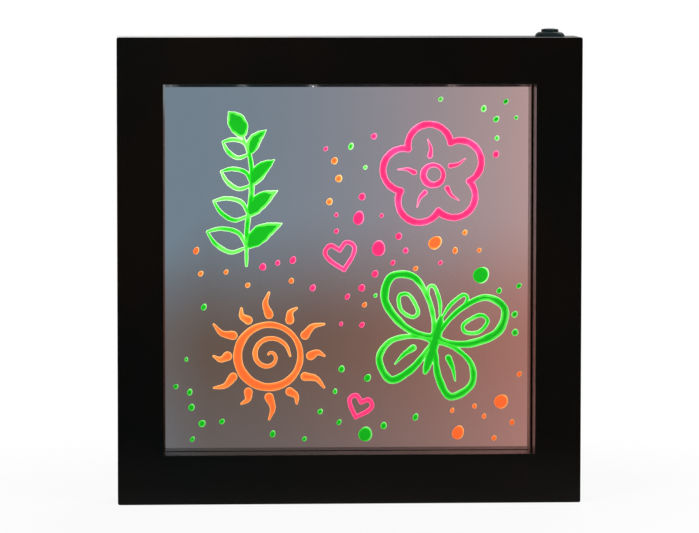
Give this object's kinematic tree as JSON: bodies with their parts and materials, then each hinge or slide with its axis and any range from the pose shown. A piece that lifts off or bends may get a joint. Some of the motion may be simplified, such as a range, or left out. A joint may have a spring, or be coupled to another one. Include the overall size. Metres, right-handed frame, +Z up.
{
  "type": "edge-lit message board",
  "caption": "Square free-standing message board: a deep black frame round an edge-lit clear drawing panel, with a push button on top and a battery bay in the foot.",
  "frame": {"origin": "middle of the base, on the surface the board stands on, half way between its face and its back", "axes": "+X to the right as seen from the front, +Y from the face to the back, +Z up"},
  "size_m": [0.25, 0.036, 0.2559],
  "materials": {
    "case_plastic": "satin moulded black",
    "clear_acrylic": "clear cast acrylic with polished edges",
    "strip_white": "white solder mask",
    "led_package": "white package with a clear dish",
    "button_plastic": "satin moulded dark plastic",
    "white_plastic": "plain moulded",
    "black_resin": "moulded resin",
    "brass_lug": "stamped",
    "circuit_board": "green solder mask",
    "cell_wrap": "plain grey sleeve",
    "plated_steel": "bright nickel plate",
    "black_lead": "insulated lead",
    "red_lead": "insulated lead"
  },
  "bodies": {
    "case": {"front_frame": "case_plastic", "rear_cover": "case_plastic", "acrylic_panel": "clear_acrylic", "led_strip": "strip_white", "led_1": "led_package", "led_2": "led_package", "led_3": "led_package", "led_4": "led_package", "led_5": "led_package", "led_6": "led_package", "switch_body": "button_plastic", "button_spring": "plated_steel", "switch_nut": "plated_steel", "switch_base": "black_resin", "switch_lug_1": "brass_lug", "switch_lug_2": "brass_lug", "control_board": "circuit_board", "control_chip": "black_resin", "filter_capacitor": "black_resin", "board_screw_1": "plated_steel", "board_screw_2": "plated_steel", "battery_cell_1": "cell_wrap", "battery_cell_2": "cell_wrap", "battery_cell_3": "cell_wrap", "negative_plate": "plated_steel", "positive_plate": "plated_steel", "cell_spring": "plated_steel", "case_screw_1": "plated_steel", "case_screw_2": "plated_steel", "case_screw_3": "plated_steel", "case_screw_4": "plated_steel", "case_screw_5": "plated_steel", "case_screw_6": "plated_steel", "case_screw_7": "plated_steel", "case_screw_8": "plated_steel", "black_lead": "black_lead", "red_lead": "red_lead", "switch_lead_1": "white_plastic", "switch_lead_2": "white_plastic", "led_lead": "white_plastic"},
    "button": {"button_cap": "button_plastic", "button_plunger": "white_plastic"},
    "battery_door": {"battery_door": "case_plastic", "door_screw_1": "plated_steel", "door_screw_2": "plated_steel"}
  },
  "joints": [
    {"name": "button_press", "type": "slide", "parent": "case", "child": "button", "axis": [0, 0, -1], "range_m": [0, 0.0014], "stiffness_N_per_m": 900, "springref_m": -0.0008, "deforming": ["button_spring"]},
    {"name": "battery_door_lift", "type": "slide", "parent": "case", "child": "battery_door", "axis": [0, 1, 0], "range_m": [0, 0.03]}
  ]
}
